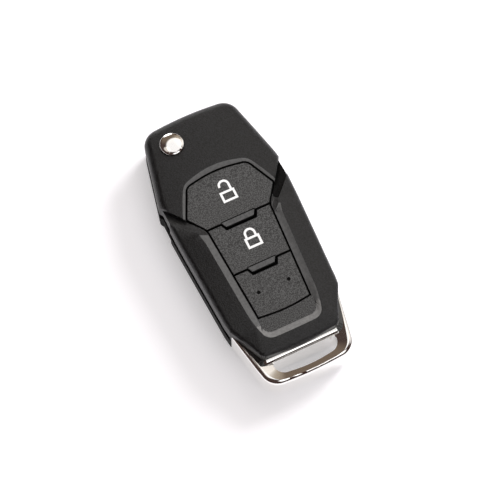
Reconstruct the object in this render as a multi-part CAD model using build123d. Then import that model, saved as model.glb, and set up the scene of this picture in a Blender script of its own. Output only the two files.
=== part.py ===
from build123d import *
from math import cos, degrees, radians, sin, sqrt, tan
import os

# Flip-key remote fob, millimetres. The back face lies on z = 0 and the front face looks up.
# +Y runs along the body to the blade end, +X is to the right seen from the front, and the
# symmetry plane of the housing is x = 0.

# Clearances
running_gap = 0.07        # shaft in bore, pin in bore
slide_gap = 0.12          # push button in the front shell
key_gap = 0.35            # pad to the edge of the window
tab_gap = 0.85            # thumb tab to the notch of the next pad
sweep_gap = 0.3           # blade and hub to the pocket they turn through
seat_gap = 0.05           # fixed piece to its seat

# Housing outline
end_top = 38.9            # blade end on the centre line
head_corner_x = 12.9
head_corner_y = 38.35
head_corner_round = 4.8
head_half = 17.6          # widest place of the head
head_low_y = 17.4
waist_half = 16.9
notch_y = 11.0
notch_step = 0.6
wing_half = 17.4          # wing at the notch
wing_mid_half = 17.1
wing_mid_y = 5.0
wing_low_half = 15.85
wing_low_y = -19.0
wing_end_half = 15.45
wing_end_y = -21.9
collar_half = 13.8        # where the ring arm starts beside the collar
collar_y = -25.2
tail_half = 10.7
tail_y = -31.7
tail_round = 2.2
end_bottom = -32.4        # front shell over the ring bar

# Heights
floor = 1.4
parting = 7.2
deck = 14.2               # pads and the recess they lie in
deck_tilt = 1.0           # degrees, falling to the ring end
deck_ref_y = 20.0
rim_rise = 0.65           # wings and head above the deck
rim_width = 1.75          # sloping band round the pads
deck_land = 0.08          # flat edge between the opening and the band
wall = 1.5
back_round = 1.2

# Head surface
head_peak = 14.95
head_peak_y = 10.0
head_long_radius = 250.0
head_cross_radius = 130.0
head_edge_round = 2.5

# Wings
wing_round = 1.6          # shoulder between the side wall and the wing
shoulder = 13.1           # where wall and wing would meet without the round
rim_land = 0.12           # narrow flat along the rim

# Window and pads
window_top = 20.1
window_side_y = 19.0
window_top_half = 8.9
window_top_round = 2.8
window_corner_half = 12.95
window_corner_y = 10.4
window_corner_round = 1.0
window_bend_half = 9.3
window_bend_y = 5.3
window_bend_round = 3.6
recess_low_half = 7.4
recess_low_y = -26.6
recess_round = 2.2
divider_1 = 5.4
divider_2 = -8.7
pad_low = -22.1
divider_gap = 0.3
pad_low_bow = 0.4
tab_1_half = 4.9
tab_2_half = 4.1
tab_slant = 1.1
tab_root = 0.6            # facet starts this far above the divider
tab_reach = 1.1
tab_drop = 0.9
dimple_x = 4.3
dimple_y = -15.6
dimple_radius = 0.5
dimple_depth = 0.25
pad_edge = 0.18

# Waist facet: the crease against the head and the rise to the wing
crease_depth = 0.95       # below the deck at the window corner
crease_outer_z = 11.8
facet_rise = 0.18         # slope across the facet

# Keypad, board and switches
membrane_top = 11.7
membrane = 0.7
membrane_flange = 0.8
board_top = 8.6
board = 1.0
switch_height = 1.7
switch_size = 6.0
plunger_radius = 1.5
plunger_depth = 0.9       # plunger inside the switch body
press_travel = 0.4

# Ring loop
ring_floor = 1.6
ring_top = 10.4
ring_end = -39.7
ring_corner_half = 12.3
ring_corner_y = -39.1
ring_corner_round = 5.0
ring_arm_half = 15.4
ring_arm_y = -22.5
ring_bar = 1.5            # cross bar under the collar
ring_bar_top = 9.4        # bar under the lip of the front shell
slot_top = -33.2
slot_bottom = -37.45
slot_low_y = -36.7
slot_half = 9.2
slot_low_half = 8.4
slot_round = 3.0
slot_top_round = 1.0
ring_round = 1.4          # outer edge of the front face
ring_slope = 2.0          # fall from the ridge to the slot
ring_slope_drop = 0.6
ring_back_bevel = 0.5
tongue_half = 9.0
tongue_low = 6.4
tongue = 1.8
tongue_y = -24.5
peg_x = 5.6
peg_y = -27.3
peg_radius = 1.5
peg_height = 0.8

# Flip head
pivot_x = -7.0
pivot_y = 31.8
button_radius = 3.25
button_top = 14.9
button_dome = 0.5
button_round = 0.35
flange_radius = 4.15
flange = 1.2
flange_gap = 0.1
stem_radius = 1.6
stem_low = 4.2
key_width = 1.6
key_height = 1.1
boss_radius = 3.05
boss_top = 5.2
hub_radius = 5.6
hub_low = 1.65
hub_web = 1.4
hub_ceiling = 11.8
hub_chamber = 4.5
spring_wire = 0.7
spring_radius = 3.75
spring_turns = 5
arm_low = 4.8
arm = 3.8
arm_left = 8.4            # left face of the arm from the pivot
arm_reach = 9.6           # end face of the arm from the pivot
arm_trim = 5.3
blade_width = 7.6
blade = 2.2
blade_inset = 0.4         # blade edge inside the arm face
blade_reach = 53.0        # pivot to the tip
blade_tip = 3.4
blade_groove = 2.6
groove_depth = 0.45
tang_width = 5.0
tang_length = 4.6
pin_radius = 0.9
pin_reach = 7.2           # pin from the pivot along the blade
arm_round = 1.2
blade_edge = 0.25
groove_stop = 4.0

# Cell, carrier and contacts
cell_radius = 10.0
cell = 3.2
cell_x = 4.5
cell_y = 2.0
bay_left = -6.0           # electronics bay beside the blade
divider_wall = 0.7
bay_top = 21.5
bay_bottom = -23.6
frame_wall = 0.8
frame_web = 0.8
strip = 0.3               # contact strip
contact_half = 2.5
contact_reach = 1.4       # leg of a contact beyond the cell's rim
contact_tab = 1.6

# Transponder pocket in the head
chip_x = 7.6
chip_y = 30.0
chip_width = 6.0
chip_length = 10.0
chip_height = 2.8
chip_rim = 0.8            # low wall round the transponder

# Ribs, posts and lip inside the shells
rib = 1.0
rib_count = 4
post_radius = 1.2
post_places = ((12.5, 15.5), (11.5, -12.0), (10.8, -19.5))
ledge_places = (-16.0, 8.0)
ledge = 1.2
lip = 0.6                 # lip of the rear shell inside the wall of the front shell
lip_height = 0.8
tail_wall_y = -29.0       # inside of the end wall at the ring
tail_ceiling = 11.6
boss_wall = 1.1           # round the pegs of the ring's tongue
notch_half = 2.0          # pry notch at the parting line
pry_y = -13.0
pry_depth = 0.7

# Switches and parts on the board
switch_x = 0.0
unlock_y = 12.5
lock_y = -1.8
controller_x = 9.5
controller_y = -5.0
controller_size = 6.0
controller_height = 1.1
crystal_x = 4.5
crystal_y = -15.0
crystal_length = 5.0
crystal_width = 3.2
crystal_height = 1.2
capacitor_length = 1.6
capacitor_width = 0.8
capacitor_places = ((8.0, 2.0), (8.0, 4.5), (11.0, 2.0), (6.0, -11.0), (9.5, -16.5))


# Share of a side that the round of one corner may use
corner_share = 0.6


def symmetric(right):
    """Corner list of a shape with a mirror axis, from its right half, bottom to top."""
    left = [(-x, y, r) for x, y, r in reversed(right) if x != 0]
    return right + left


def grown(corners, amount):
    """Corner list with every side moved outward. The list runs anticlockwise."""
    count = len(corners)
    result = []
    for i, (x, y, r) in enumerate(corners):
        px, py, _ = corners[i - 1]
        nx, ny, _ = corners[(i + 1) % count]
        ax, ay = x - px, y - py
        bx, by = nx - x, ny - y
        la, lb = sqrt(ax * ax + ay * ay), sqrt(bx * bx + by * by)
        ax, ay, bx, by = ax / la, ay / la, bx / lb, by / lb
        cross = ax * by - ay * bx
        scale = amount / (1 + ax * bx + ay * by)
        turn = 1 if cross > 0 else -1
        radius = max(r + turn * amount, 0) if r > 0 else 0
        result.append((x + (ay + by) * scale, y - (ax + bx) * scale, radius))
    return result


def outline(corners):
    """Face of straight sides and round corners, from (x, y, radius) corners.

    A radius is limited to what its two sides leave room for.
    """
    count = len(corners)
    bends = []
    for i, (x, y, r) in enumerate(corners):
        corner = Vector(x, y)
        back = Vector(*corners[i - 1][:2]) - corner
        ahead = Vector(*corners[(i + 1) % count][:2]) - corner
        if r == 0:
            bends.append((corner, corner, corner))
            continue
        half_turn = radians(180 - back.get_angle(ahead)) / 2
        r = min(r, corner_share * min(back.length, ahead.length) / tan(half_turn))
        back, ahead = back.normalized(), ahead.normalized()
        reach = r * tan(half_turn)
        middle = corner + (back + ahead).normalized() * (r / cos(half_turn) - r)
        bends.append((corner + back * reach, middle, corner + ahead * reach))
    edges = []
    for i, (start, middle, end) in enumerate(bends):
        if (end - start).length > 1e-6:
            edges.append(Edge.make_three_point_arc(start, middle, end))
        following = bends[(i + 1) % count][0]
        if (following - end).length > 1e-6:
            edges.append(Edge.make_line(end, following))
    return Face(Wire(edges))


def arch(half, side_y, middle_y):
    """Corner on the centre line whose arc meets middle_y between sides that end at side_y."""
    span = 0.55
    corner_y = (middle_y - span / 2 * side_y) / (1 - span / 2)
    rise = abs(corner_y - side_y)
    slope = rise / half
    return (0, corner_y, span * sqrt(half ** 2 + rise ** 2) / slope)


def prism(face, low, high):
    """Upright solid over a face drawn at z = 0."""
    return extrude(Pos(0, 0, low) * face, amount=high - low, dir=(0, 0, 1))


def block(x0, x1, y0, y1, z0, z1):
    """Box between two corners."""
    return Pos(x0, y0, z0) * Box(x1 - x0, y1 - y0, z1 - z0, align=(Align.MIN,) * 3)


def rod(x, y, radius, low, high):
    """Upright cylinder."""
    return Pos(x, y, low) * Cylinder(radius, high - low, align=(Align.CENTER, Align.CENTER, Align.MIN))


def area(corners):
    """Face of straight sides through (x, y) points."""
    return outline([(x, y, 0) for x, y in corners])


# The deck plane, in which the recess and the tops of the pads lie
deck_plane = Plane(
    origin=(0, deck_ref_y, deck),
    x_dir=(1, 0, 0),
    z_dir=(0, -sin(radians(deck_tilt)), cos(radians(deck_tilt))),
)


def on_deck(face, height):
    """Face drawn at z = 0, laid parallel to the deck at a height above it."""
    return deck_plane * Pos(0, -deck_ref_y, height) * face


def deck_at(y):
    """Height of the deck at a place along the body."""
    return deck + (y - deck_ref_y) * tan(radians(deck_tilt))


# Outlines, each as the right half from the ring end to the blade end
tail_arch = arch(tail_half, tail_y, end_bottom)
shell_half = [
    tail_arch,
    (tail_half, tail_y, tail_round),
    (collar_half, collar_y, 1.3),
    (wing_end_half, wing_end_y, 0.8),
    (wing_low_half, wing_low_y, 20),
    (wing_mid_half, wing_mid_y, 60),
    (wing_half, notch_y, 0.5),
    (waist_half, notch_y + notch_step, 0.3),
    (waist_half, head_low_y - 0.8, 0.3),
    (head_half, head_low_y, 0.8),
    (head_half - 0.1, head_low_y + 2.5, 20),
    (head_corner_x, head_corner_y, head_corner_round),
    arch(head_corner_x, head_corner_y, end_top),
]
hull_half = [
    tail_arch,
    (tail_half, tail_y, tail_round),
    (collar_half, collar_y, 1.3),
    (wing_end_half, wing_end_y, 1.6),
    (wing_low_half, wing_low_y, 20),
    (wing_mid_half, wing_mid_y, 60),
    (head_half, head_low_y, 3),
    (head_corner_x, head_corner_y, head_corner_round),
    arch(head_corner_x, head_corner_y, end_top),
]
head_outline_half = [
    (window_corner_half, window_corner_y, 0),
    (head_half, head_low_y, 0),
    (head_half - 0.1, head_low_y + 2.5, 20),
    (head_corner_x, head_corner_y, head_corner_round),
    arch(head_corner_x, head_corner_y, end_top),
]
core_half = [
    (tail_half, tail_y, 0),
    (collar_half, collar_y, 0),
    (wing_low_half, wing_low_y, 0),
    (waist_half, wing_mid_y, 0),
    (waist_half, head_low_y, 0),
    (head_corner_x, head_corner_y, head_corner_round),
]
window_half = [
    (recess_low_half, recess_low_y, recess_round),
    (window_bend_half, window_bend_y, window_bend_round),
    (window_corner_half, window_corner_y, window_corner_round),
    (window_top_half, window_side_y, window_top_round),
    arch(window_top_half, window_side_y, window_top),
]
ring_half = [
    arch(ring_corner_half, ring_corner_y, ring_end),
    (ring_corner_half, ring_corner_y, ring_corner_round),
    (ring_arm_half, ring_arm_y, 0),
]
slot_outline_half = [
    arch(slot_low_half, slot_low_y, slot_bottom),
    (slot_low_half, slot_low_y, slot_round),
    (slot_half, slot_top, slot_top_round),
]
shell_corners = symmetric(shell_half)
hull_corners = symmetric(hull_half)
core_corners = symmetric(core_half)
window_corners = symmetric(window_half)
ring_corners = symmetric(ring_half)
slot_corners = symmetric(slot_outline_half)

# Heights and places that follow from the driving sizes
rim = deck + rim_rise
board_low = board_top - board
switch_top = board_top + switch_height
plunger_top = membrane_top - membrane
blade_right = pivot_x - blade_inset
blade_left = blade_right - blade_width
blade_middle = (blade_left + blade_right) / 2
blade_low = arm_low + (arm - blade) / 2
blade_high = blade_low + blade
blade_end_y = pivot_y - blade_reach
arm_high = arm_low + arm
arm_end_y = pivot_y - arm_reach
pin_y = pivot_y - pin_reach
hub_high = hub_ceiling - sweep_gap
hub_bay = hub_radius + sweep_gap
bore_radius = boss_radius + running_gap
flange_high = hub_ceiling - flange_gap
flange_low = flange_high - flange
spring_low = hub_low + hub_web
sweep_right = pivot_x + sweep_gap
sweep_low_y = blade_end_y - 2 * sweep_gap
open_right = pivot_x + arm_left + sweep_gap
arm_radius = sqrt(arm_left ** 2 + arm_reach ** 2) + sweep_gap
left_bay_right = bay_left - divider_wall
left_bay_low = arm_low - sweep_gap
left_bay_high = arm_high + sweep_gap
keypad_floor = membrane_top - membrane - press_travel
cell_low = floor + strip
cell_top = cell_low + cell
head_bay_left = open_right + wall
far = 60


def sweep_space(low, high):
    """Plan that the folding blade needs, between two heights."""
    face = area([
        (-far, sweep_low_y),
        (sweep_right, sweep_low_y),
        (sweep_right, pivot_y),
        (pivot_x + hub_bay, pivot_y),
        (open_right, pivot_y + arm_trim - sweep_gap),
        (open_right, far),
        (-far, far),
    ])
    return prism(face, low, high)


def flip_space():
    """Everything the hub, arm and blade turn through."""
    blade_space = sweep_space(blade_low - sweep_gap, blade_high + sweep_gap)
    arm_space = sweep_space(arm_low - sweep_gap, arm_high + sweep_gap)
    arm_space &= rod(pivot_x, pivot_y, arm_radius, 0, button_top)
    barrel_space = rod(pivot_x, pivot_y, hub_bay, floor, hub_ceiling)
    return blade_space + arm_space + barrel_space


def ring_plan(gap):
    """Plan of the ring with its cross bar and arms, grown by a gap towards the shells."""
    outer = outline(grown(ring_corners, gap))
    inner_half = [
        (tail_half - 0.2, tail_y + ring_bar - 0.3, tail_round),
        (collar_half + seat_gap, collar_y, 0),
        (wing_end_half + seat_gap, wing_end_y, 0),
        (wing_end_half + seat_gap, 0, 0),
    ]
    return outer - outline(grown(symmetric(inner_half), -gap))


def bay(x0, x1, y0, y1, low, high):
    """Hollow between two walls, inside the side walls."""
    return prism(outline(grown(core_corners, -wall)), low, high) & block(x0, x1, y0, y1, low, high)


def head_plan(low_y):
    """Plan of the head with its sides carried straight down to a place along the body."""
    return outline(symmetric([
        (head_half, low_y, 0),
        (head_half, head_low_y, 20),
        (head_corner_x, head_corner_y, head_corner_round),
        arch(head_corner_x, head_corner_y, end_top),
    ]))


def head_solid():
    """The raised head: a surface arched both ways, over the head's plan, with a soft edge."""
    axis = Axis((0, head_peak_y, head_peak - head_long_radius), (1, 0, 0))
    reach = 24
    low = head_peak - head_cross_radius + sqrt(head_cross_radius ** 2 - reach ** 2)
    arc = Edge.make_three_point_arc((reach, low), (0, head_peak), (-reach, low))
    sides = Wire.make_polygon([(-reach, low), (-reach, 0), (reach, 0), (reach, low)], close=False)
    section = Plane.XZ.offset(-head_peak_y) * Face(Wire([arc] + sides.edges()))
    swing = degrees(40 / head_long_radius)
    surface = revolve(section.rotate(axis, swing / 2), axis, -1.5 * swing)
    low_y = window_bend_y
    head = surface & prism(head_plan(low_y), parting, head_peak + 1)
    rim_edges = [e for e in head.edges() if e.center().Z > shoulder and e.center().Y > low_y + 0.5]
    head = fillet(rim_edges, head_edge_round)
    return head & prism(outline(symmetric(head_outline_half)), parting, head_peak + 1)


def wing_solid():
    """Body with walls that round over into wings sloping up to the rim."""
    body_half = [
        arch(tail_half + 0.3, tail_y - 0.4, end_bottom),
        (tail_half + 0.3, tail_y - 0.4, 1.4 * wing_round),
        (collar_half + 0.1, collar_y - 0.3, 4),
        (wing_end_half + 0.2, wing_end_y, 1.4 * wing_round),
        (wing_low_half, wing_low_y, 25),
        (wing_mid_half, wing_mid_y, 60),
        (head_half, head_low_y + 5, 0),
    ]
    low = recess_low_half + rim_width + rim_land
    bend = window_bend_half + rim_width + rim_land
    end = recess_low_y - rim_width - rim_land
    grow = (bend - low) / (window_bend_y - end)
    crown_half = [
        arch(low, end + 0.5, end),
        (low, end + 0.5, recess_round + rim_width),
        (low + 3 * grow, end + 5, 30),
        (low + 5 * grow + 0.05, end + 8, 30),
        (low + grow * (wing_low_y - end) + 0.1, wing_low_y + 3, 30),
        (bend, window_bend_y, 30),
        (bend + 1, head_low_y + 5, 0),
    ]
    plan = outline(symmetric(body_half))
    crown = on_deck(outline(symmetric(crown_half)), rim_rise)
    upper = loft([Pos(0, 0, shoulder) * plan, crown], ruled=True)
    body = upper + prism(plan, parting, shoulder)
    turn = [
        e for e in body.edges()
        if abs(e.center().Z - shoulder) < 0.01 and e.center().Y < head_low_y + 4.9
    ]
    return fillet(turn, wing_round) & prism(outline(shell_corners), parting, rim + 1)


def facet_cutter():
    """Space above the facet that falls from the right wing to the crease under the head."""
    inner = Vector(window_corner_half, window_corner_y, deck - crease_depth)
    share = (waist_half - window_corner_half) / (head_half - window_corner_half)
    outer_y = window_corner_y + (head_low_y - window_corner_y) * share
    along = (Vector(waist_half, outer_y, crease_outer_z) - inner).normalized()
    level = Vector(along.Y, -along.X, 0).normalized()
    across = Vector(level.X, level.Y, facet_rise)
    plane = Plane(origin=inner, x_dir=along, z_dir=across.cross(along))
    space = extrude(plane * Rectangle(2 * far, 2 * far), amount=wing_half)
    return space & block(window_bend_half - 1, far, -far, far, parting, far)


def recess_cutter():
    """Recess of the pads, with the sloping band that rises to the rim."""
    low = on_deck(outline(grown(window_corners, deck_land)), 0)
    high = on_deck(outline(grown(window_corners, deck_land + rim_width * 3)), rim_rise * 3)
    return loft([low, high], ruled=True)


def pad_plan(gap):
    """Plan of the opening that the pads fill, drawn in by a gap."""
    low = pad_low + gap
    limit = outline([
        (-far, low, 0), (-recess_low_half, low, 0), (0, low - 2 * pad_low_bow, 50),
        (recess_low_half, low, 0), (far, low, 0), (far, far, 0), (-far, far, 0),
    ])
    return outline(grown(window_corners, -gap)) & limit


def tab_plan(divider, half, gap):
    """Plan of the thumb tab that reaches into the next pad."""
    low = divider - tab_reach - gap
    side = half + gap * 0.6
    return area([
        (-side + tab_slant, low), (side - tab_slant, low), (side, divider + tab_root),
        (-side, divider + tab_root),
    ])


def tab_slope(divider, half):
    """Space above the sloping face of a thumb tab."""
    top = divider + tab_root
    low = divider - tab_reach - 0.1
    z = deck_at(top)
    side = area([(top, z), (low, z - tab_drop), (low - 1, z - tab_drop), (low - 1, z + 2), (top, z + 2)])
    wedge = extrude(Plane.YZ.offset(-half) * side, amount=2 * half, dir=(1, 0, 0))
    return wedge & prism(tab_plan(divider, half, 0.0), parting, far)


def pad(low_y, high_y):
    """Slice of the pad field between two heights on the body, with its top on the deck."""
    stock = prism(pad_plan(key_gap), membrane_top, far)
    stock &= block(-far, far, low_y, high_y, 0, far)
    above = on_deck(area([(-far, -far), (far, -far), (far, far), (-far, far)]), 0)
    return stock - extrude(above, amount=far, dir=(0, 0, 1))


def soften(solid):
    """Small bevel round the top of a pad."""
    top = [
        e for e in solid.edges()
        if abs(e.center().Z - deck_at(e.center().Y)) < 0.01
    ]
    return chamfer(top, pad_edge)


def unlock_button():
    upper = pad(divider_1 + divider_gap / 2, far)
    reach = pad(divider_1 - tab_reach, divider_1 + 1) & prism(tab_plan(divider_1, tab_1_half, 0), 0, far)
    return soften(upper + reach) - tab_slope(divider_1, tab_1_half)


def lock_button():
    middle = pad(divider_2 + divider_gap / 2, divider_1 - divider_gap / 2)
    middle -= prism(tab_plan(divider_1, tab_1_half, tab_gap), 0, far)
    reach = pad(divider_2 - tab_reach, divider_2 + 1) & prism(tab_plan(divider_2, tab_2_half, 0), 0, far)
    return soften(middle + reach) - tab_slope(divider_2, tab_2_half)


def blank_pad():
    low = pad(-far, divider_2 - divider_gap / 2)
    low -= prism(tab_plan(divider_2, tab_2_half, tab_gap), 0, far)
    low = soften(low)
    for side in (-1, 1):
        low -= rod(side * dimple_x, dimple_y, dimple_radius, deck_at(dimple_y) - dimple_depth, far)
    return low


def left_ribs(low, high):
    """Cross ribs that guide the folded blade, between two heights."""
    plan = prism(outline(grown(core_corners, -wall / 2)), low, high)
    step = (bay_top - sweep_low_y) / (rib_count + 1)
    ribs = [
        block(-far, left_bay_right + 0.1, sweep_low_y + (i + 1) * step - rib / 2,
              sweep_low_y + (i + 1) * step + rib / 2, low, high)
        for i in range(rib_count)
    ]
    return plan & Part(children=ribs)


def tail_pocket(low, high):
    """Hollow at the ring end, behind the end wall."""
    return block(-tail_half + wall, tail_half - wall, tail_wall_y, bay_bottom - wall, low, high)


def parting_lip(gap):
    """Lip along the right wall that keeps the two shells in line."""
    band = prism(outline(grown(core_corners, lip - wall + gap)), parting - 0.1, parting + lip_height + gap)
    band -= prism(outline(grown(core_corners, -wall)), 0, far)
    return band & block(0, far, bay_bottom - gap, bay_top + gap, 0, far)


def front_shell():
    cut = facet_cutter()
    shell = wing_solid() - cut - mirror(cut, Plane.YZ)
    shell = shell - prism(outline(symmetric(head_outline_half)), 0, far) + head_solid()
    shell -= recess_cutter()
    shell -= prism(pad_plan(0), keypad_floor, far)
    shell -= bay(bay_left, far, bay_bottom, bay_top, parting, keypad_floor)
    shell -= bay(-far, left_bay_right, sweep_low_y, bay_top, parting, keypad_floor)
    shell -= bay(head_bay_left, far, bay_top + wall, far, parting, hub_ceiling)
    keypad = outline(grown(window_corners, membrane_flange + 0.1))
    shell -= prism(keypad, keypad_floor, membrane_top + seat_gap) & block(
        -far, far, pad_low - membrane_flange - 0.1, far, 0, far)
    shell -= flip_space()
    shell -= rod(pivot_x, pivot_y, button_radius + slide_gap, hub_ceiling, far)
    shell -= key_blocks(slide_gap, hub_ceiling, flange_high + key_height + slide_gap)
    shell -= prism(ring_plan(seat_gap), parting, ring_bar_top + seat_gap)
    shell -= tongue_block(seat_gap)
    shell -= tail_pocket(parting, tail_ceiling)
    shell -= parting_lip(seat_gap)
    shell += left_ribs(left_bay_high, keypad_floor + 0.1)
    for x, y in post_places:
        shell += rod(x, y, post_radius, board_top + seat_gap, keypad_floor + 0.1)
    for y in ledge_places:
        shell += block(left_bay_right + 0.1, bay_left + ledge, y - rib, y + rib,
                       board_top + seat_gap, keypad_floor)
    peg_top = tongue_low + tongue + peg_height + 2 * seat_gap
    for side in (-1, 1):
        shell += rod(side * peg_x, peg_y, peg_radius + boss_wall,
                     tongue_low + tongue + seat_gap, tail_ceiling + 0.1)
        shell -= rod(side * peg_x, peg_y, peg_radius + seat_gap, parting, peg_top)
    return shell


def key_blocks(gap, low, high):
    """Two keys on the push button that stop it turning."""
    half = key_width / 2 + gap
    reach = flange_radius + gap
    return block(pivot_x - reach, pivot_x + reach, pivot_y - half, pivot_y + half, low, high)


def tongue_block(gap):
    """Tongue of the ring that the two shells clamp."""
    return block(-tongue_half - gap, tongue_half + gap, tail_y, tongue_y + gap,
                 tongue_low - gap, tongue_low + tongue + gap)


def rear_shell():
    stock = prism(outline(hull_corners), 0, parting)
    back_edges = stock.edges().filter_by(lambda e: abs(e.center().Z) < 0.01)
    shell = fillet(back_edges, back_round) & prism(outline(shell_corners), 0, parting)
    shell -= bay(bay_left, far, bay_bottom, bay_top, floor, parting)
    shell -= bay(-far, left_bay_right, sweep_low_y, bay_top, floor, parting)
    shell -= bay(head_bay_left, far, bay_top + wall, far, floor, parting)
    shell -= flip_space()
    shell += rod(pivot_x, pivot_y, boss_radius, floor - 0.5, boss_top)
    shell -= rod(pivot_x, pivot_y, stem_radius + running_gap, floor, boss_top)
    shell -= prism(ring_plan(seat_gap), ring_floor - seat_gap, parting)
    shell -= tongue_block(seat_gap)
    shell += left_ribs(floor - 0.2, left_bay_low)
    shell -= tail_pocket(floor, parting)
    for side in (-1, 1):
        shell += rod(side * peg_x, peg_y, peg_radius + boss_wall, floor - 0.2, tongue_low - seat_gap)
        shell += rod(side * peg_x, peg_y, peg_radius, tongue_low - 1, tongue_low + tongue + peg_height)
    shell += parting_lip(0)
    shell -= block(wing_low_half - pry_depth, far, pry_y - notch_half, pry_y + notch_half,
                   parting - pry_depth, parting) & prism(outline(hull_corners), 0, parting)
    wall_in = transponder_block(chip_rim + seat_gap)
    shell += (wall_in & block(-far, far, -far, far, floor - 0.2, floor + 1.6)) - transponder_block(seat_gap)
    return shell


def transponder_block(gap):
    """Transponder, grown by a gap."""
    return block(chip_x - chip_width / 2 - gap, chip_x + chip_width / 2 + gap,
                 chip_y - chip_length / 2 - gap, chip_y + chip_length / 2 + gap,
                 floor, floor + chip_height)


def ring_loop():
    ring = prism(outline(ring_corners), ring_floor, ring_top)
    rim_edges = [e for e in ring.edges().filter_by(lambda e: abs((e @ 0).Z - (e @ 1).Z) < 0.01)
                 if e.center().Y < ring_arm_y - 0.1]
    ring = fillet([e for e in rim_edges if e.center().Z > ring_top - 0.01], ring_round)
    back_edges = [e for e in ring.edges()
                  if e.center().Z < ring_floor + 0.01 and e.center().Y < ring_arm_y - 0.1]
    ring = chamfer(back_edges, ring_back_bevel)
    ring &= prism(ring_plan(0), ring_floor, ring_top)
    ring -= prism(outline(slot_corners), 0, far)
    low = Pos(0, 0, ring_top - ring_slope_drop) * outline(slot_corners)
    high = Pos(0, 0, ring_top + ring_slope_drop) * outline(grown(slot_corners, 2 * ring_slope))
    ring -= loft([low, high], ruled=True)
    ring -= prism(outline(grown(shell_corners, seat_gap)), ring_bar_top, far)
    return ring + tongue_block(0) - pegs_space()


def pegs_space():
    """Holes of the tongue for the two pegs."""
    holes = [rod(side * peg_x, peg_y, peg_radius + seat_gap, 0, far) for side in (-1, 1)]
    return holes[0] + holes[1]


def spring_coil():
    """Unbroken round wire between the hub's web and the flange of the push button."""
    low = spring_low + spring_wire / 2 + seat_gap
    high = flange_low - spring_wire / 2 - seat_gap
    pitch = (high - low) / spring_turns
    print("least gap between the turns of the spring:", round(pitch - spring_wire, 3), "mm")
    path = Pos(pivot_x, pivot_y, low) * Helix(pitch=pitch, height=high - low, radius=spring_radius)
    start = path @ 0
    section = Plane(origin=start, z_dir=path % 0) * Circle(spring_wire / 2)
    return sweep(section, path=path, is_frenet=True)


def pivot_hub():
    hub = rod(pivot_x, pivot_y, hub_radius, hub_low, hub_high)
    arm_plan = area([
        (pivot_x - arm_left, arm_end_y),
        (pivot_x, arm_end_y),
        (pivot_x, pivot_y),
        (pivot_x - hub_radius, pivot_y),
        (pivot_x - arm_left, pivot_y - arm_trim),
    ])
    arm_block = prism(arm_plan, arm_low, arm_high)
    corner = [
        e for e in arm_block.edges().filter_by(Axis.Z)
        if e.center().X < pivot_x - arm_left + 0.1
    ]
    hub += fillet(corner, arm_round)
    hub -= rod(pivot_x, pivot_y, hub_chamber, spring_low, far)
    hub -= rod(pivot_x, pivot_y, bore_radius, 0, far)
    hub -= tang_block(seat_gap)
    hub -= rod(blade_middle, pin_y, pin_radius + seat_gap, 0, far)
    rim_edge = [
        e for e in hub.edges().filter_by(GeomType.CIRCLE)
        if abs(e.radius - hub_radius) < 0.01 and abs(e.center().Z - hub_high) < 0.01
    ]
    return chamfer(rim_edge, 0.3)


def tang_block(gap):
    """Tang of the blade inside the arm."""
    return block(blade_middle - tang_width / 2 - gap, blade_middle + tang_width / 2 + gap,
                 arm_end_y - 0.1, arm_end_y + tang_length + gap,
                 blade_low - gap, blade_high + gap)


def blade_body():
    plan = area([
        (blade_middle, blade_end_y),
        (blade_right, blade_end_y + blade_tip),
        (blade_right, arm_end_y - seat_gap),
        (blade_left, arm_end_y - seat_gap),
        (blade_left, blade_end_y + blade_tip),
    ])
    steel = prism(plan, blade_low, blade_high)
    edges = [
        e for e in steel.edges()
        if abs(abs(e.center().Z - (blade_low + blade_high) / 2) - blade / 2) < 0.01
        and e.center().Y < arm_end_y - 2 * seat_gap
    ]
    steel = chamfer(edges, blade_edge)
    steel += tang_block(0) & block(-far, far, arm_end_y - 0.1, far, 0, far)
    groove = block(blade_middle - blade_groove / 2, blade_middle + blade_groove / 2,
                   blade_end_y - 1, arm_end_y - groove_stop, -groove_depth, groove_depth)
    steel -= Pos(0, 0, blade_low) * groove
    steel -= Pos(0, 0, blade_high) * groove
    return steel - rod(blade_middle, pin_y, pin_radius + seat_gap, 0, far)


def blade_pin():
    pin = rod(blade_middle, pin_y, pin_radius, arm_low, arm_high)
    return chamfer(pin.edges().filter_by(GeomType.CIRCLE), 0.15)


def release_button():
    cap = rod(pivot_x, pivot_y, button_radius, flange_high, button_top)
    dome_radius = (button_radius ** 2 + button_dome ** 2) / (2 * button_dome)
    dome = Pos(pivot_x, pivot_y, button_top - dome_radius) * Sphere(dome_radius)
    cap = cap & dome
    crest = [e for e in cap.edges() if abs(e.center().Z - (button_top - button_dome)) < 0.05]
    cap = fillet(crest, button_round)
    plate = rod(pivot_x, pivot_y, flange_radius, flange_low, flange_high)
    keys = key_blocks(0, flange_high - 0.1, flange_high + key_height) & rod(
        pivot_x, pivot_y, flange_radius, 0, far)
    stem = rod(pivot_x, pivot_y, stem_radius, stem_low, flange_low)
    stem = chamfer(stem.edges().group_by(Axis.Z)[0], 0.3)
    return cap + plate + keys + stem


def keypad_membrane():
    sheet = outline(grown(window_corners, membrane_flange))
    low = pad_low - membrane_flange
    return prism(sheet, membrane_top - membrane, membrane_top) & block(-far, far, low, far, 0, far)


def inner_bay(gap, low, high):
    """Space of the electronics bay, drawn in by a gap."""
    plan = outline(grown(core_corners, -wall - gap))
    return prism(plan, low, high) & block(
        bay_left + gap, far, bay_bottom + gap, bay_top - gap, low, high)


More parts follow.
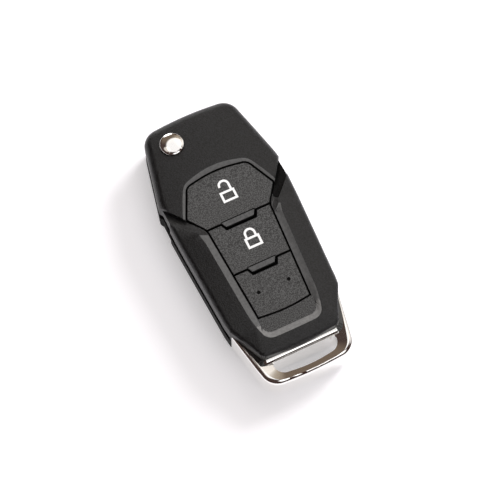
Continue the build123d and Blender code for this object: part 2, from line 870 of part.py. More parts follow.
def inner_frame():
    web_low = cell_top + seat_gap
    rim_wall = inner_bay(seat_gap, web_low, board_low) - inner_bay(frame_wall, web_low, board_low)
    web = inner_bay(seat_gap, web_low, web_low + frame_web)
    web -= rod(cell_x, cell_y, cell_radius * 0.6, 0, far)
    cup = rod(cell_x, cell_y, cell_radius + frame_wall, floor, web_low + 0.1)
    cup = (cup & inner_bay(seat_gap, floor, far)) - rod(cell_x, cell_y, cell_radius + seat_gap, 0, web_low)
    frame = rim_wall + web + cup
    for x, y in post_places:
        frame += rod(x, y, post_radius + 0.4, web_low, board_low) & inner_bay(seat_gap, 0, far)
        frame -= rod(x, y, post_radius - 0.3, 0, board_low - 1.2)
    for side in (-1, 1):
        frame -= contact_space(side, seat_gap)
    return frame


def contact_space(side, gap):
    """Slot in the carrier for a contact strip, below or above the cell along the body."""
    inner = cell_y + side * (cell_radius - 0.6)
    outer = cell_y + side * (cell_radius + contact_reach + gap)
    return block(cell_x - contact_half - gap, cell_x + contact_half + gap,
                 min(inner, outer), max(inner, outer), 0, far)


def contact_strip(side, foot_low, foot_reach):
    """Bent strip: a foot at the cell, a leg beside it and a tab under the board."""
    leg_outer = cell_y + side * (cell_radius + contact_reach)
    leg_inner = leg_outer - side * strip
    foot_inner = cell_y + side * foot_reach
    x0, x1 = cell_x - contact_half, cell_x + contact_half
    leg = block(x0, x1, min(leg_inner, leg_outer), max(leg_inner, leg_outer), foot_low, board_low)
    foot = block(x0, x1, min(foot_inner, leg_outer), max(foot_inner, leg_outer),
                 foot_low, foot_low + strip)
    tab_inner = leg_outer - side * contact_tab
    tab = block(x0, x1, min(tab_inner, leg_outer), max(tab_inner, leg_outer),
                board_low - strip, board_low)
    return leg + foot + tab


def negative_contact():
    return contact_strip(-1, floor, 3.0)


def positive_contact():
    return contact_strip(1, floor + cell / 2, cell_radius)


def coin_cell():
    can = rod(cell_x, cell_y, cell_radius, cell_low, cell_top)
    can = fillet(can.edges().group_by(Axis.Z)[-1], 0.4)
    can = chamfer(can.edges().group_by(Axis.Z)[0], 0.3)
    ring_groove = rod(cell_x, cell_y, cell_radius - 0.9, cell_low - 1, cell_low + 0.15)
    ring_groove -= rod(cell_x, cell_y, cell_radius - 1.3, 0, far)
    return can - ring_groove


def circuit_board():
    plate = inner_bay(2 * seat_gap, board_low, board_top)
    upright = plate.edges().filter_by(Axis.Z)
    plate = fillet(upright, 0.5)
    for side in (-1, 1):
        y = cell_y + side * (cell_radius + contact_reach - strip / 2)
        for x in (cell_x - 1.5, cell_x + 1.5):
            plate -= rod(x, y, 0.35, 0, far)
    return plate


def switch_body(y):
    half = switch_size / 2
    low = block(switch_x - half, switch_x + half, y - half, y + half, board_top, switch_top - 0.3)
    plate = block(switch_x - half + 0.2, switch_x + half - 0.2, y - half + 0.2, y + half - 0.2,
                  switch_top - 0.4, switch_top)
    body = low + plate
    for dx in (-1, 1):
        for dy in (-1, 1):
            body += block(switch_x + dx * (half + 0.4) - 0.45, switch_x + dx * (half + 0.4) + 0.45,
                          y + dy * 2.2 - 0.35, y + dy * 2.2 + 0.35, board_top, board_top + strip)
    return body - rod(switch_x, y, plunger_radius + running_gap,
                      switch_top - plunger_depth - press_travel - 0.1, far)


def switch_plunger(y):
    plunger = rod(switch_x, y, plunger_radius, switch_top - plunger_depth, plunger_top)
    return chamfer(plunger.edges().group_by(Axis.Z)[-1], 0.2)


def controller_chip():
    half = controller_size / 2
    chip = block(controller_x - half, controller_x + half, controller_y - half,
                 controller_y + half, board_top + 0.1, board_top + controller_height)
    chip = chamfer(chip.edges().group_by(Axis.Z)[-1], 0.15)
    for i in range(5):
        x = controller_x + (i - 2) * 1.1
        for side in (-1, 1):
            y = controller_y + side * (half + 0.35)
            chip += block(x - 0.2, x + 0.2, y - 0.5, y + 0.5, board_top, board_top + 0.25)
    return chip


def radio_crystal():
    can = block(crystal_x - crystal_length / 2, crystal_x + crystal_length / 2,
                crystal_y - crystal_width / 2, crystal_y + crystal_width / 2,
                board_top, board_top + crystal_height)
    can = fillet(can.edges().filter_by(Axis.Z), 0.6)
    return chamfer(can.edges().group_by(Axis.Z)[-1], 0.2)


def board_capacitors():
    return Compound(children=[
        block(x - capacitor_length / 2, x + capacitor_length / 2,
              y - capacitor_width / 2, y + capacitor_width / 2, board_top, board_top + capacitor_width)
        for x, y in capacitor_places
    ])


def transponder():
    wedge = transponder_block(0)
    return chamfer(wedge.edges().group_by(Axis.Z)[-1], 0.3)


parts = {
    "front_shell": front_shell(),
    "rear_shell": rear_shell(),
    "ring_loop": ring_loop(),
    "unlock_button": unlock_button(),
    "lock_button": lock_button(),
    "blank_pad": blank_pad(),
    "keypad_membrane": keypad_membrane(),
    "inner_frame": inner_frame(),
    "circuit_board": circuit_board(),
    "unlock_switch": switch_body(unlock_y),
    "unlock_switch_plunger": switch_plunger(unlock_y),
    "lock_switch": switch_body(lock_y),
    "lock_switch_plunger": switch_plunger(lock_y),
    "coin_cell": coin_cell(),
    "positive_contact": positive_contact(),
    "negative_contact": negative_contact(),
    "controller_chip": controller_chip(),
    "radio_crystal": radio_crystal(),
    "board_capacitors": board_capacitors(),
    "transponder": transponder(),
    "pivot_hub": pivot_hub(),
    "blade": blade_body(),
    "blade_pin": blade_pin(),
    "release_button": release_button(),
    "flip_spring": spring_coil(),
}

os.makedirs("parts", exist_ok=True)
for name, shape in parts.items():
    export_step(shape, "parts/" + name + ".step")
    print(name, "solids", len(shape.solids()), "volume", round(shape.volume, 1))
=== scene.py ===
from math import atan, cos, radians, sin

import bpy
from mathutils import Matrix, Vector


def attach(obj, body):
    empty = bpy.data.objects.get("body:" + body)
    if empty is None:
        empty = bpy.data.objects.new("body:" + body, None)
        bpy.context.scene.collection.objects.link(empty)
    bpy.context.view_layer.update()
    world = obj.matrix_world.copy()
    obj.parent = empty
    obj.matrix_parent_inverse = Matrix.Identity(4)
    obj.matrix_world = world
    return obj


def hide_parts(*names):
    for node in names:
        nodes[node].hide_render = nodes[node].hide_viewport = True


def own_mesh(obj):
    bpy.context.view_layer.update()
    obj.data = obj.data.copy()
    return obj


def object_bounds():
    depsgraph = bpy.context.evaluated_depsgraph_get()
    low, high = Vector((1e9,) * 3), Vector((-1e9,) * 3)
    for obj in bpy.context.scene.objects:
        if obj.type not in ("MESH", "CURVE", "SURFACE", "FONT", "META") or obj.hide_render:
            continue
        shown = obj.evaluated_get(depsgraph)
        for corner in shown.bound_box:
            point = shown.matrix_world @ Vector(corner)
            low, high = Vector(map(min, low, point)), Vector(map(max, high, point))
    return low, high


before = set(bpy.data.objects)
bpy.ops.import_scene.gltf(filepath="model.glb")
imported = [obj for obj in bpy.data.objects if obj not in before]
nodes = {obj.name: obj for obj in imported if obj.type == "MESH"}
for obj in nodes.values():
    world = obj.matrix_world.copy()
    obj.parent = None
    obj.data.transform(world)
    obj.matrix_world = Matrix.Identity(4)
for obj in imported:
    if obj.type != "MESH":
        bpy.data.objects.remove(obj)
cad_low, cad_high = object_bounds()
MM = 0.001

# Room low and high up, and soft lights: direction, full and outer angle in degrees, colour, strength
ROOM_LOW = (0.030, 0.012, 0.009)
ROOM_HIGH = (0.070, 0.048, 0.042)
SOFT_LIGHTS = [
    ((0.24, 0.22, 0.95), 21, 26, (1.0, 1.0, 1.0), 1.05),
    ((-0.25, 0.17, 0.95), 9, 12, (1.0, 0.95, 0.88), 0.70),
    ((0.16, -0.60, 0.79), 10, 24, (1.0, 1.0, 1.0), 1.8),
    ((0.15, 0.93, 0.34), 8, 18, (1.0, 1.0, 1.0), 3.2),
    ((0.15, 0.80, 0.58), 14, 34, (1.0, 0.80, 0.55), 0.11),
    ((0.66, 0.33, 0.67), 10, 30, (1.0, 0.88, 0.70), 0.35),
    ((0.85, 0.10, 0.46), 12, 30, (1.0, 1.0, 1.0), 0.8),
]
SHADOW_FROM = (0.78, 0.30, 0.55)
SHADOW_LAMP_DISTANCE = 0.60
SHADOW_LAMP_SIZE = 0.28
SHADOW_LAMP_ENERGY = 3.4
SOFT_FILL = 0.165

# Floor: its size and gap under the object in metres, its paper, and how far it glows
FLOOR_SIZE = 6.0
FLOOR_GAP = 0.0001
FLOOR_PAPER = (0.80, 0.785, 0.82)
FLOOR_GLOW = (1, 0.995, 0.998)
GLOW_SEEN = 0.35
GLOW_MIRRORED = 0.42

# Camera, fitted to the photograph
AIM = Vector((-0.65, -2.84, 10.0)) * MM
VIEW_AZIMUTH = radians(-25.66)
VIEW_ELEVATION = radians(68.83)
DISTANCE = 470.0 * MM
LENS = 129.4

# The deck that the pads lie in, as the CAD source has it
DECK = 14.2
DECK_REF_Y = 20.0
DECK_TILT = radians(1.0)

# Skins of the CAD pieces: how near two points are welded, and how near two places are the same, in
# metres; how sharp an edge is still shaded smooth, and how flat an edge is dissolved, in degrees
WELD = 2e-6
SAME_PLACE = 1e-7
SMOOTH_EDGE = 28
FLAT_EDGE = 0.4
RING_SMOOTH_EDGE = 35
RING_FLAT_EDGE = 0.5

# Faces are told apart by place, in millimetres, and by slope, the upward share of their normal
LEVEL = 0.99

# Band round the pads, and the strip of the recess that shows below them
RECESS_MIDDLE_Y = -3.0
BAND_HALF = 15.2
BAND_TOP = 23.0
BAND_HEAD_LOW = 10.0
BAND_SIDE_TOP = 5.6
# The band's left side stops lower, so its upper part keeps the dark shell finish as painted shade
BAND_LEFT_TOP = 4.4
BAND_CORNER_TOP = -20.0
# Below this the band takes a lighter copy of its satin: painted light on the band's foot
BAND_PAINTED_LIGHT_TOP = -24.0
BAND_BELOW_DECK = 0.05
BAND_STEEPEST = 0.91
BAND_FLATTEST = 0.965
CORNER_STEEPEST = 0.84
STRIP_TOP = 8.0
STRIP_OFF_DECK = 0.03

# Waist facets beside the head: smooth, and darkened with a barely reflective plastic as painted
# shade
FACET_INNER = 9.0
FACET_NORMAL = Vector((-0.036, 0.259, 0.965))
FACET_MATCH = 0.06

# Thumb tabs, each from its root to its end, and the dimples of the blank pad, which get painted
# shade
TABS = {"unlock_button": (6.0, 4.3), "lock_button": (-8.1, -9.8)}
# Width of the painted shade lines at both ends of a tab's lighter face
TAB_LINE = 0.25
TAB_FORWARD = 0.3
TAB_STEEPEST = 0.8
DIMPLE = Vector((4.3, -15.6))
DIMPLE_RADIUS = 0.52

# Ridge of the ring and the dished face inside it, in millimetres
RING_TOP = 10.4
RIDGE_LOW = -39.3
RIDGE_TOP = -18.0
RIDGE_LOW_HALF = 10.1
RIDGE_TOP_HALF = 16.8
RIDGE_CORNER = 4.0
RIDGE_SEGMENTS = 24
DISH_WIDTH = 3.0
DISH_DROP = 0.75
DISH_MATCH = 0.006
CUTTER_HEIGHT = 3.0

# Chrome bar along the collar, in millimetres
BAR_LOW = (-10.2, -33.25, 9.0)
BAR_HIGH = (9.9, -31.6, 10.9)
BAR_ROUND = 1.2
BAR_SEGMENTS = 12

# Padlock marks on the pads, in millimetres: place, and the left and right leg of the shackle
MARK_STROKE = 0.62
MARK_THICKNESS = 0.03
MARK_WIDTH = 4.2
MARK_BODY_HEIGHT = 3.1
MARK_LIFT = 0.005
SHACKLE_RADIUS = 1.3
SHACKLE_POINTS = 48
UNLOCK_MARK = (0.33, 12.0)
UNLOCK_LEGS = (0.2, 1.6)
LOCK_MARK = (0.66, -2.4)
LOCK_LEGS = (0.85, 0.85)


def deck_at(y):
    """Height of the pads' tops at a place along the body, in millimetres."""
    return DECK + (y - DECK_REF_Y) * sin(DECK_TILT)


# Materials

GLOSS_SPREAD = 0.06
CLOUD_LOW = 0.42
CLOUD_HIGH = 0.58
METAL_CLOUD = 900.0


def new_material(name):
    """Node material with its node tree's nodes and links and its main shader."""
    mat = bpy.data.materials.new(name)
    mat.use_nodes = True
    return mat, mat.node_tree.nodes, mat.node_tree.links, mat.node_tree.nodes["Principled BSDF"]


def moulded(name, colour, roughness, grain, depth, speckle=0.0, specular=0.5):
    """Moulded plastic or rubber with a pitted grain, a faint speckle and uneven gloss.

    The grain is the width of its pits and the depth how deep they are, both in millimetres.
    """
    mat, tree_nodes, links, shader = new_material(name)
    shader.inputs["Specular IOR Level"].default_value = specular
    place = tree_nodes.new("ShaderNodeTexCoord")
    pits = tree_nodes.new("ShaderNodeTexVoronoi")
    pits.feature = "SMOOTH_F1"
    pits.inputs["Scale"].default_value = 1.0 / (grain * MM)
    cloud = tree_nodes.new("ShaderNodeTexNoise")
    cloud.inputs["Scale"].default_value = 0.7 / (grain * MM)
    cloud.inputs["Detail"].default_value = 4.0
    for texture in (pits, cloud):
        links.new(place.outputs["Object"], texture.inputs["Vector"])
    height = tree_nodes.new("ShaderNodeMath")
    height.operation = "ADD"
    links.new(pits.outputs["Distance"], height.inputs[0])
    links.new(cloud.outputs["Fac"], height.inputs[1])
    bump = tree_nodes.new("ShaderNodeBump")
    bump.inputs["Distance"].default_value = depth * MM
    links.new(height.outputs[0], bump.inputs["Height"])
    links.new(bump.outputs["Normal"], shader.inputs["Normal"])
    tint = tree_nodes.new("ShaderNodeMix")
    tint.data_type = "RGBA"
    tint.inputs["A"].default_value = (*(c * (1 - speckle) for c in colour), 1)
    tint.inputs["B"].default_value = (*(c * (1 + speckle) for c in colour), 1)
    spread = tree_nodes.new("ShaderNodeMapRange")
    spread.inputs["From Min"].default_value = CLOUD_LOW
    spread.inputs["From Max"].default_value = CLOUD_HIGH
    links.new(cloud.outputs["Fac"], spread.inputs["Value"])
    links.new(spread.outputs["Result"], tint.inputs["Factor"])
    links.new(tint.outputs["Result"], shader.inputs["Base Color"])
    gloss = tree_nodes.new("ShaderNodeMapRange")
    gloss.inputs["To Min"].default_value = roughness - GLOSS_SPREAD
    gloss.inputs["To Max"].default_value = roughness + GLOSS_SPREAD
    links.new(cloud.outputs["Fac"], gloss.inputs["Value"])
    links.new(gloss.outputs["Result"], shader.inputs["Roughness"])
    return mat


def metal(name, colour, roughness, brushed=0.0):
    """Plated or brushed metal with a faint waviness."""
    mat, tree_nodes, links, shader = new_material(name)
    shader.inputs["Base Color"].default_value = (*colour, 1)
    shader.inputs["Metallic"].default_value = 1.0
    place = tree_nodes.new("ShaderNodeTexCoord")
    stretch = tree_nodes.new("ShaderNodeMapping")
    stretch.inputs["Scale"].default_value = (1, 1 - brushed, 1)
    links.new(place.outputs["Object"], stretch.inputs["Vector"])
    cloud = tree_nodes.new("ShaderNodeTexNoise")
    cloud.inputs["Scale"].default_value = METAL_CLOUD
    links.new(stretch.outputs["Vector"], cloud.inputs["Vector"])
    gloss = tree_nodes.new("ShaderNodeMapRange")
    gloss.inputs["To Min"].default_value = roughness * 0.8
    gloss.inputs["To Max"].default_value = roughness * 1.2
    links.new(cloud.outputs["Fac"], gloss.inputs["Value"])
    links.new(gloss.outputs["Result"], shader.inputs["Roughness"])
    return mat


shell_grain = moulded("shell_grain", (0.0055, 0.0056, 0.0062), 0.42, 0.26, 0.055, 0.8)
band_satin = moulded("band_satin", (0.085, 0.085, 0.085), 0.36, 0.50, 0.004, 0.1, 0.3)
band_painted_light = moulded("band_painted_light", (0.165, 0.163, 0.161), 0.36, 0.50, 0.004, 0.1, 0.3)
facet_gloss_painted_shade = moulded("facet_gloss_painted_shade", (0.003, 0.003, 0.003), 0.22, 0.50, 0.003, 0.1, 0.1)
recess_grain = moulded("recess_grain", (0.050, 0.050, 0.050), 0.60, 0.20, 0.06, 0.6)
rear_plastic = moulded("rear_plastic", (0.006, 0.006, 0.006), 0.60, 0.40, 0.012, 0.3, 0.1)
pad_rubber = moulded("pad_rubber", (0.053, 0.053, 0.053), 0.55, 0.20, 0.06, 0.6)
pad_painted_shade = moulded("pad_painted_shade", (0.004, 0.004, 0.004), 0.60, 0.40, 0.02, 0.2, 0.1)
sheet_rubber = moulded("sheet_rubber", (0.004, 0.004, 0.004), 0.60, 0.50, 0.01, 0.2, 0.1)
tab_satin_painted_light = moulded("tab_satin_painted_light", (0.085, 0.085, 0.085), 0.42, 0.50, 0.006, 0.2)
hub_plastic = moulded("hub_plastic", (0.010, 0.010, 0.011), 0.42, 0.40, 0.01, 0.2)
carrier_plastic = moulded("carrier_plastic", (0.55, 0.55, 0.52), 0.5, 0.5, 0.01, 0.05)
board_laminate = moulded("board_laminate", (0.02, 0.12, 0.05), 0.35, 0.8, 0.005, 0.1)
switch_plastic = moulded("switch_plastic", (0.03, 0.03, 0.035), 0.4, 0.5, 0.005, 0.1)
plunger_plastic = moulded("plunger_plastic", (0.7, 0.7, 0.66), 0.4, 0.5, 0.005, 0.05)
chip_plastic = moulded("chip_plastic", (0.012, 0.012, 0.012), 0.6, 0.3, 0.01, 0.2)
capacitor_ceramic = moulded("capacitor_ceramic", (0.30, 0.19, 0.10), 0.45, 0.3, 0.005, 0.1)
mark_paint = moulded("mark_paint", (0.90, 0.90, 0.90), 0.55, 0.30, 0.003, 0.02)
chrome = metal("chrome", (0.86, 0.85, 0.83), 0.07)
blade_steel = metal("blade_steel", (0.58, 0.58, 0.59), 0.28, brushed=0.9)
spring_steel = metal("spring_steel", (0.50, 0.50, 0.52), 0.25)
plated_steel = metal("plated_steel", (0.72, 0.71, 0.68), 0.22)

FINISH = {
    "front_shell": shell_grain,
    "rear_shell": rear_plastic,
    "ring_loop": chrome,
    "unlock_button": pad_rubber,
    "lock_button": pad_rubber,
    "blank_pad": pad_rubber,
    "keypad_membrane": sheet_rubber,
    "inner_frame": carrier_plastic,
    "circuit_board": board_laminate,
    "unlock_switch": switch_plastic,
    "unlock_switch_plunger": plunger_plastic,
    "lock_switch": switch_plastic,
    "lock_switch_plunger": plunger_plastic,
    "coin_cell": plated_steel,
    "positive_contact": plated_steel,
    "negative_contact": plated_steel,
    "controller_chip": chip_plastic,
    "radio_crystal": plated_steel,
    "board_capacitors": capacitor_ceramic,
    "transponder": chip_plastic,
    "pivot_hub": hub_plastic,
    "blade": blade_steel,
    "blade_pin": plated_steel,
    "release_button": chrome,
    "flip_spring": spring_steel,
}


for node, mat in FINISH.items():
    nodes[node].data.materials.clear()
    nodes[node].data.materials.append(mat)


# Skins


def start_piece(name):
    """Names the object just added and returns it."""
    piece = bpy.context.active_object
    piece.name = name
    return piece


def only(piece):
    """Makes one object the selected and active one."""
    bpy.ops.object.select_all(action="DESELECT")
    piece.select_set(True)
    bpy.context.view_layer.objects.active = piece


def pick(mesh, wanted):
    """Selects the vertices that a test on their place picks out."""
    for part in (mesh.polygons, mesh.edges):
        for element in part:
            element.select = False
    for vertex in mesh.vertices:
        vertex.select = wanted(vertex.co)


def apply_modifiers(piece):
    """Applies every modifier of a piece, in order."""
    only(piece)
    for modifier in list(piece.modifiers):
        bpy.ops.object.modifier_apply(modifier=modifier.name)


def sharpen_ridge(mesh):
    """Keeps the edge crisp where the dished face of the ring meets the faces round it."""
    slope = cos(atan(DISH_DROP / DISH_WIDTH))
    dish_low = (RING_TOP - DISH_DROP) * MM
    sides = {}
    for face in mesh.polygons:
        dished = abs(face.normal.z - slope) < DISH_MATCH and face.center.z > dish_low
        for key in face.edge_keys:
            sides.setdefault(key, set()).add(dished)
    for edge in mesh.edges:
        if len(sides[edge.key]) > 1:
            edge.use_edge_sharp = True


def skin(name, node, body, smooth_edge=SMOOTH_EDGE, flat_edge=FLAT_EDGE, cutter=None):
    """Welded copy of a CAD node with clean smooth shading, which is shown in its place.

    A cutter is taken out of the copy, and the ridge that it leaves stays crisp.
    """
    piece = bpy.data.objects.new(name, nodes[node].data.copy())
    bpy.context.collection.objects.link(piece)
    only(piece)
    bpy.ops.object.mode_set(mode="EDIT")
    bpy.ops.mesh.select_all(action="SELECT")
    bpy.ops.mesh.remove_doubles(threshold=WELD)
    bpy.ops.mesh.dissolve_limited(angle_limit=radians(flat_edge))
    bpy.ops.object.mode_set(mode="OBJECT")
    if cutter:
        cut = piece.modifiers.new("cut", "BOOLEAN")
        cut.operation = "DIFFERENCE"
        cut.object = cutter
        apply_modifiers(piece)
    bpy.ops.object.shade_smooth_by_angle(angle=radians(smooth_edge))
    if cutter:
        sharpen_ridge(piece.data)
        bpy.data.objects.remove(cutter)
    weight = piece.modifiers.new("even", "WEIGHTED_NORMAL")
    weight.keep_sharp = True
    apply_modifiers(piece)
    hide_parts(node)
    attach(piece, body)
    return piece


def ring_dish():
    """Cutter that lets the front face of the ring fall inward from a ridge near its rim."""
    middle = (RIDGE_TOP + RIDGE_LOW) / 2
    bpy.ops.object.select_all(action="DESELECT")
    bpy.ops.mesh.primitive_plane_add(size=1.0, location=(0, middle * MM, RING_TOP * MM))
    piece = start_piece("ring_dish")
    piece.scale = (2 * RIDGE_LOW_HALF * MM, (RIDGE_TOP - RIDGE_LOW) * MM, 1)
    bpy.ops.object.transform_apply(location=True, rotation=False, scale=True)
    bpy.ops.object.mode_set(mode="EDIT")
    bpy.ops.mesh.select_mode(type="VERT")
    bpy.ops.object.mode_set(mode="OBJECT")
    pick(piece.data, lambda co: co.y > middle * MM)
    bpy.ops.object.mode_set(mode="EDIT")
    bpy.ops.transform.resize(value=(RIDGE_TOP_HALF / RIDGE_LOW_HALF, 1, 1))
    bpy.ops.object.mode_set(mode="OBJECT")
    pick(piece.data, lambda co: co.y < middle * MM)
    bpy.ops.object.mode_set(mode="EDIT")
    bpy.ops.mesh.bevel(offset=RIDGE_CORNER * MM, segments=RIDGE_SEGMENTS, affect="VERTICES")
    bpy.ops.mesh.select_all(action="SELECT")
    bpy.ops.mesh.inset(thickness=DISH_WIDTH * MM)
    bpy.ops.transform.translate(value=(0, 0, -DISH_DROP * MM))
    bpy.ops.mesh.select_all(action="SELECT")
    bpy.ops.mesh.region_to_loop()
    bpy.ops.mesh.extrude_edges_move(TRANSFORM_OT_translate={"value": (0, 0, CUTTER_HEIGHT * MM)})
    bpy.ops.mesh.edge_face_add()
    bpy.ops.mesh.select_all(action="SELECT")
    bpy.ops.mesh.normals_make_consistent(inside=False)
    bpy.ops.object.mode_set(mode="OBJECT")
    return piece


def in_window(x, y):
    """Whether a place lies over the pads' recess, or in the band round it."""
    # On the left the band stops lower: painted shade on its upper part
    side_top = BAND_LEFT_TOP if x < 0 else BAND_SIDE_TOP
    return abs(x) < BAND_HALF and (y < side_top or BAND_HEAD_LOW < y < BAND_TOP)


def front_skin():
    """Front shell: grained head and wings, a satin band round the pads and glossy waist facets.

    Light is painted on the band's foot; shade is painted on the facets and on the band's upper left.
    """
    mesh = skin("front_skin", "front_shell", "housing").data
    mesh.materials.clear()
    finishes = (shell_grain, band_satin, recess_grain, facet_gloss_painted_shade, band_painted_light)
    for mat in finishes:
        mesh.materials.append(mat)
    for face in mesh.polygons:
        x, y, z = face.center / MM
        normal = face.normal
        inward = normal.x * x + normal.y * (y - RECESS_MIDDLE_Y) < 0
        over_deck = z - deck_at(y)
        steepest = CORNER_STEEPEST if y < BAND_CORNER_TOP else BAND_STEEPEST
        on_band = inward and steepest < normal.z < BAND_FLATTEST and over_deck > -BAND_BELOW_DECK
        finish = shell_grain
        if abs(over_deck) < STRIP_OFF_DECK and normal.z > LEVEL and y < STRIP_TOP:
            finish = recess_grain
        elif on_band and in_window(x, y):
            # The band's foot gets a lighter copy of the same satin as painted light
            finish = band_painted_light if y < BAND_PAINTED_LIGHT_TOP else band_satin
        # Painted shade: the waist facets get a darker plastic that barely reflects
        elif abs(x) > FACET_INNER and (normal - FACET_NORMAL).length < FACET_MATCH:
            finish = facet_gloss_painted_shade
        face.material_index = finishes.index(finish)


def pad_skin(name, node, body):
    """Pad with painted shade on sides, dimples and tab lines; a finer sloping tab face in painted
    light.
    """
    piece = skin(name, node, body)
    root, end = TABS.get(node, (0, 0))
    lit_high, lit_low = root - TAB_LINE, end + TAB_LINE
    if node in TABS:
        bpy.ops.object.mode_set(mode="EDIT")
        for cut in (lit_high, lit_low):
            bpy.ops.mesh.select_all(action="SELECT")
            bpy.ops.mesh.bisect(plane_co=(0, cut * MM, 0), plane_no=(0, 1, 0))
        bpy.ops.object.mode_set(mode="OBJECT")
    mesh = piece.data
    mesh.materials.append(pad_painted_shade)
    mesh.materials.append(tab_satin_painted_light)
    shade_index, tab_light_index = 1, 2
    for face in mesh.polygons:
        x, y = face.center.x / MM, face.center.y / MM
        in_dimple = node == "blank_pad" and (Vector((abs(x), y)) - DIMPLE).length < DIMPLE_RADIUS
        # Painted shade: the pad's sides and the dimples get a near-black rubber
        if face.normal.z < LEVEL or in_dimple:
            face.material_index = shade_index
        forward = face.normal.y < -TAB_FORWARD and face.normal.z > TAB_STEEPEST
        # Painted light: the sloping tab face that catches the light gets a lighter, finer satin
        if forward and lit_low < y < lit_high:
            face.material_index = tab_light_index


bpy.ops.object.select_all(action="DESELECT")
front_skin()
skin("rear_skin", "rear_shell", "housing")
skin("ring_skin", "ring_loop", "housing", RING_SMOOTH_EDGE, RING_FLAT_EDGE, ring_dish())
pad_skin("unlock_skin", "unlock_button", "unlock")
pad_skin("lock_skin", "lock_button", "lock")
pad_skin("blank_skin", "blank_pad", "housing")
skin("release_skin", "release_button", "release")


def spring_skin():
    """Flip spring, given a mesh of its own."""
    piece = skin("spring_skin", "flip_spring", "housing")
    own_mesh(piece)


spring_skin()


def ring_bar():
    """Round-fronted chrome bar along the collar, above the slot of the ring."""
    low, high = Vector(BAR_LOW), Vector(BAR_HIGH)
    bpy.ops.object.select_all(action="DESELECT")
    middle = (low + high) / 2 * MM
    bpy.ops.mesh.primitive_cube_add(size=1.0, location=middle)
    piece = start_piece("ring_bar")
    piece.scale = (high - low) * MM
    bpy.ops.object.transform_apply(location=True, rotation=False, scale=True)
    mesh = piece.data
    pick(mesh, lambda co: co.z > middle.z and co.y < middle.y)
    for edge in mesh.edges:
        edge.select = all(mesh.vertices[i].select for i in edge.vertices)
    bpy.ops.object.mode_set(mode="EDIT")
    bpy.ops.mesh.select_mode(type="EDGE")
    bpy.ops.mesh.bevel(offset=BAR_ROUND * MM, segments=BAR_SEGMENTS)
    bpy.ops.object.mode_set(mode="OBJECT")
    bpy.ops.object.shade_smooth_by_angle(angle=radians(RING_SMOOTH_EDGE))
    mesh.materials.append(chrome)
    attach(piece, "housing")


ring_bar()


# Padlock marks


def thicken(thickness):
    """Raises the active flat piece to its thickness, with its faces outward."""
    bpy.ops.object.mode_set(mode="EDIT")
    bpy.ops.mesh.select_all(action="SELECT")
    bpy.ops.mesh.extrude_region_move(TRANSFORM_OT_translate={"value": (0, 0, thickness)})
    bpy.ops.mesh.select_all(action="SELECT")
    bpy.ops.mesh.normals_make_consistent(inside=False)
    bpy.ops.object.mode_set(mode="OBJECT")


def flat_frame(name, x, y, width, height, stroke, thickness):
    """Thin rectangular frame drawn as a plane with its middle taken out."""
    bpy.ops.mesh.primitive_plane_add(size=1.0, location=(x, y, 0))
    piece = start_piece(name)
    piece.scale = (width, height, 1)
    bpy.ops.object.transform_apply(location=True, rotation=False, scale=True)
    bpy.ops.object.mode_set(mode="EDIT")
    bpy.ops.mesh.select_all(action="SELECT")
    bpy.ops.mesh.inset(thickness=stroke)
    bpy.ops.mesh.delete(type="FACE")
    bpy.ops.object.mode_set(mode="OBJECT")
    thicken(thickness)
    return piece


def shackle_bow(name, x, y, radius, stroke, thickness, left_leg, right_leg):
    """Half-round bow of a padlock with its two legs, drawn as half a flat ring."""
    bpy.ops.mesh.primitive_circle_add(
        vertices=SHACKLE_POINTS, radius=radius + stroke / 2, fill_type="NGON", location=(x, y, 0)
    )
    piece = start_piece(name)
    bpy.ops.object.transform_apply(location=True, rotation=False, scale=False)
    bpy.ops.object.mode_set(mode="EDIT")
    bpy.ops.mesh.select_all(action="SELECT")
    bpy.ops.mesh.inset(thickness=stroke)
    bpy.ops.mesh.delete(type="FACE")
    bpy.ops.mesh.select_all(action="SELECT")
    bpy.ops.mesh.bisect(plane_co=(x, y, 0), plane_no=(0, 1, 0), clear_inner=True)
    bpy.ops.object.mode_set(mode="OBJECT")
    for side, leg in ((-1, left_leg), (1, right_leg)):
        only(piece)
        mesh = piece.data
        for vertex in mesh.vertices:
            vertex.select = False
        for edge in mesh.edges:
            ends = [mesh.vertices[i].co for i in edge.vertices]
            edge.select = all(abs(co.y - y) < SAME_PLACE and (co.x - x) * side > 0 for co in ends)
        for face in mesh.polygons:
            face.select = False
        bpy.ops.object.mode_set(mode="EDIT")
        bpy.ops.mesh.select_mode(type="EDGE")
        bpy.ops.mesh.extrude_region_move(TRANSFORM_OT_translate={"value": (0, -leg, 0)})
        bpy.ops.object.mode_set(mode="OBJECT")
    thicken(thickness)
    return piece


def padlock_mark(name, place, legs, body):
    """Padlock outline, laid on the tilted top of its pad."""
    x, y = place
    left_leg, right_leg = legs
    bpy.ops.object.select_all(action="DESELECT")
    frame_piece = flat_frame(
        name, x * MM, y * MM, MARK_WIDTH * MM, MARK_BODY_HEIGHT * MM,
        MARK_STROKE * MM, MARK_THICKNESS * MM,
    )
    bow_y = y + MARK_BODY_HEIGHT / 2 + right_leg
    bow = shackle_bow(
        name + "_bow", x * MM, bow_y * MM, SHACKLE_RADIUS * MM, MARK_STROKE * MM,
        MARK_THICKNESS * MM, left_leg * MM, right_leg * MM,
    )
    bpy.ops.object.select_all(action="DESELECT")
    bow.select_set(True)
    frame_piece.select_set(True)
    bpy.context.view_layer.objects.active = frame_piece
    bpy.ops.object.join()
    lift = Matrix.Translation((0, DECK_REF_Y * MM, (DECK + MARK_LIFT) * MM))
    lift = lift @ Matrix.Rotation(DECK_TILT, 4, "X") @ Matrix.Translation((0, -DECK_REF_Y * MM, 0))
    frame_piece.data.transform(lift)
    frame_piece.data.materials.clear()
    frame_piece.data.materials.append(mark_paint)
    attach(frame_piece, body)


padlock_mark("unlock_mark", UNLOCK_MARK, UNLOCK_LEGS, "unlock")
padlock_mark("lock_mark", LOCK_MARK, LOCK_LEGS, "lock")


# Studio


